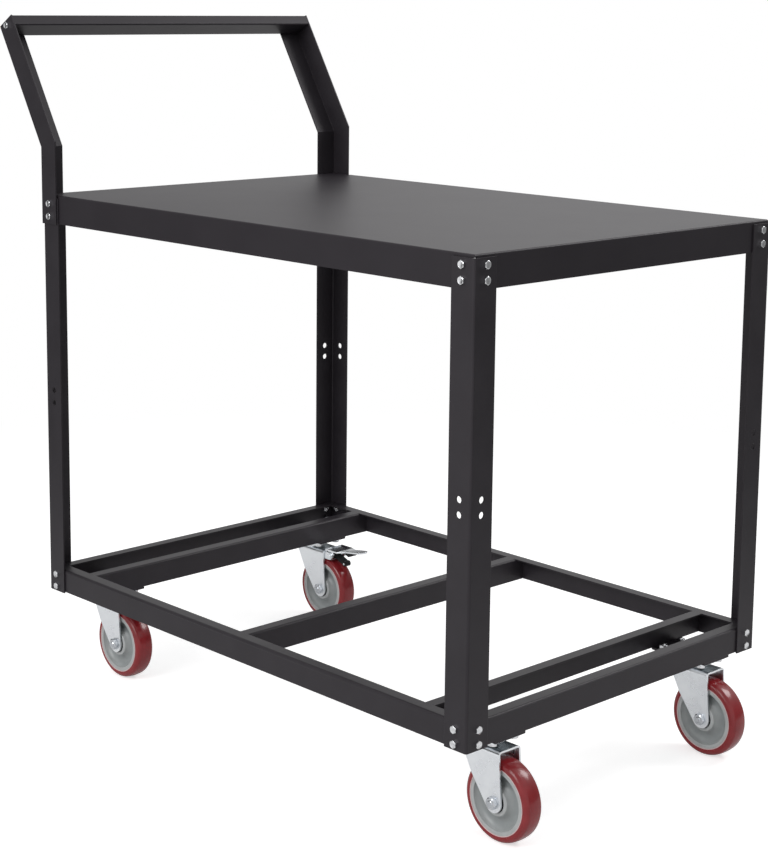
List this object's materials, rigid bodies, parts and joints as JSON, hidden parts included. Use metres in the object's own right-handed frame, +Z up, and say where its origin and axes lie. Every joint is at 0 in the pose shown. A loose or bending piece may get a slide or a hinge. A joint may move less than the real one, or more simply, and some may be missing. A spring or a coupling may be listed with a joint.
{
  "type": "mobile workbench",
  "caption": "Rolling steel workbench with a flat deck, angle posts, a lower rail frame, a leaned push handle and swivel casters, the rear ones with foot brakes.",
  "frame": {"origin": "On the floor under the middle of the bounding box.", "axes": "+X runs along the bench away from the handle, +Y runs across it, +Z is up; the wheels stand on z = 0."},
  "size_m": [1.2146, 0.6938, 1.1778],
  "materials": {
    "deck_steel": "dark grey powder coat, satin",
    "frame_steel": "black powder coat, satin",
    "fastener_steel": "zinc plated, bright",
    "caster_steel": "zinc plated, semi-bright",
    "hub_plastic": "grey moulded plastic, satin",
    "tread_polyurethane": "dark red polyurethane, satin",
    "shoe_steel": "black coat, satin"
  },
  "bodies": {
    "frame": {"deck_pan": "deck_steel", "deck_stiffener": "deck_steel", "post_front_right": "frame_steel", "post_front_left": "frame_steel", "post_rear_right": "frame_steel", "post_rear_left": "frame_steel", "side_rail_right": "frame_steel", "side_rail_left": "frame_steel", "end_rail_front": "frame_steel", "end_rail_rear": "frame_steel", "cross_rail_front": "frame_steel", "cross_rail_center": "frame_steel", "cross_rail_rear": "frame_steel", "caster_pads": "frame_steel", "handle_side_right": "frame_steel", "handle_side_left": "frame_steel", "handle_bar": "frame_steel", "frame_bolts": "fastener_steel", "handle_bolts": "fastener_steel", "handle_bar_bolts": "fastener_steel", "caster_bolts": "fastener_steel", "hex_nuts": "fastener_steel", "caster_plate_front_right": "caster_steel", "caster_plate_front_left": "caster_steel", "caster_plate_rear_right": "caster_steel", "caster_plate_rear_left": "caster_steel", "kingpins": "caster_steel", "swivel_balls": "caster_steel"},
    "swivel_front_right": {"fork_front_right": "caster_steel", "axle_bolt_front_right": "fastener_steel", "axle_nut_front_right": "fastener_steel", "axle_sleeve_front_right": "caster_steel"},
    "wheel_front_right": {"wheel_hub_front_right": "hub_plastic", "wheel_tread_front_right": "tread_polyurethane"},
    "swivel_front_left": {"fork_front_left": "caster_steel", "axle_bolt_front_left": "fastener_steel", "axle_nut_front_left": "fastener_steel", "axle_sleeve_front_left": "caster_steel"},
    "wheel_front_left": {"wheel_hub_front_left": "hub_plastic", "wheel_tread_front_left": "tread_polyurethane"},
    "swivel_rear_right": {"fork_rear_right": "caster_steel", "axle_bolt_rear_right": "fastener_steel", "axle_nut_rear_right": "fastener_steel", "axle_sleeve_rear_right": "caster_steel", "brake_bracket_rear_right": "caster_steel", "brake_pin_rear_right": "caster_steel"},
    "wheel_rear_right": {"wheel_hub_rear_right": "hub_plastic", "wheel_tread_rear_right": "tread_polyurethane"},
    "brake_rear_right": {"brake_pedal_rear_right": "caster_steel", "brake_shoe_rear_right": "shoe_steel"},
    "swivel_rear_left": {"fork_rear_left": "caster_steel", "axle_bolt_rear_left": "fastener_steel", "axle_nut_rear_left": "fastener_steel", "axle_sleeve_rear_left": "caster_steel", "brake_bracket_rear_left": "caster_steel", "brake_pin_rear_left": "caster_steel"},
    "wheel_rear_left": {"wheel_hub_rear_left": "hub_plastic", "wheel_tread_rear_left": "tread_polyurethane"},
    "brake_rear_left": {"brake_pedal_rear_left": "caster_steel", "brake_shoe_rear_left": "shoe_steel"}
  },
  "joints": [
    {"name": "swivel_turn_front_right", "type": "hinge", "parent": "frame", "child": "swivel_front_right", "pos_m": [0.50278, -0.245, 0.158], "axis": [0, 0, 1], "continuous": true},
    {"name": "wheel_spin_front_right", "type": "hinge", "parent": "swivel_front_right", "child": "wheel_front_right", "pos_m": [0.54378, -0.245, 0.0635], "axis": [0, 1, 0], "continuous": true},
    {"name": "swivel_turn_front_left", "type": "hinge", "parent": "frame", "child": "swivel_front_left", "pos_m": [0.50278, 0.245, 0.158], "axis": [0, 0, 1], "continuous": true},
    {"name": "wheel_spin_front_left", "type": "hinge", "parent": "swivel_front_left", "child": "wheel_front_left", "pos_m": [0.54378, 0.245, 0.0635], "axis": [0, 1, 0], "continuous": true},
    {"name": "swivel_turn_rear_right", "type": "hinge", "parent": "frame", "child": "swivel_rear_right", "pos_m": [-0.42822, -0.245, 0.158], "axis": [0, 0, 1], "continuous": true},
    {"name": "wheel_spin_rear_right", "type": "hinge", "parent": "swivel_rear_right", "child": "wheel_rear_right", "pos_m": [-0.38722, -0.245, 0.0635], "axis": [0, 1, 0], "continuous": true},
    {"name": "brake_press_rear_right", "type": "hinge", "parent": "swivel_rear_right", "child": "brake_rear_right", "pos_m": [-0.36222, -0.245, 0.134], "axis": [0, 1, 0], "range_deg": [0, 21]},
    {"name": "swivel_turn_rear_left", "type": "hinge", "parent": "frame", "child": "swivel_rear_left", "pos_m": [-0.42822, 0.245, 0.158], "axis": [0, 0, 1], "continuous": true},
    {"name": "wheel_spin_rear_left", "type": "hinge", "parent": "swivel_rear_left", "child": "wheel_rear_left", "pos_m": [-0.38722, 0.245, 0.0635], "axis": [0, 1, 0], "continuous": true},
    {"name": "brake_press_rear_left", "type": "hinge", "parent": "swivel_rear_left", "child": "brake_rear_left", "pos_m": [-0.36222, 0.245, 0.134], "axis": [0, 1, 0], "range_deg": [0, 21]}
  ]
}
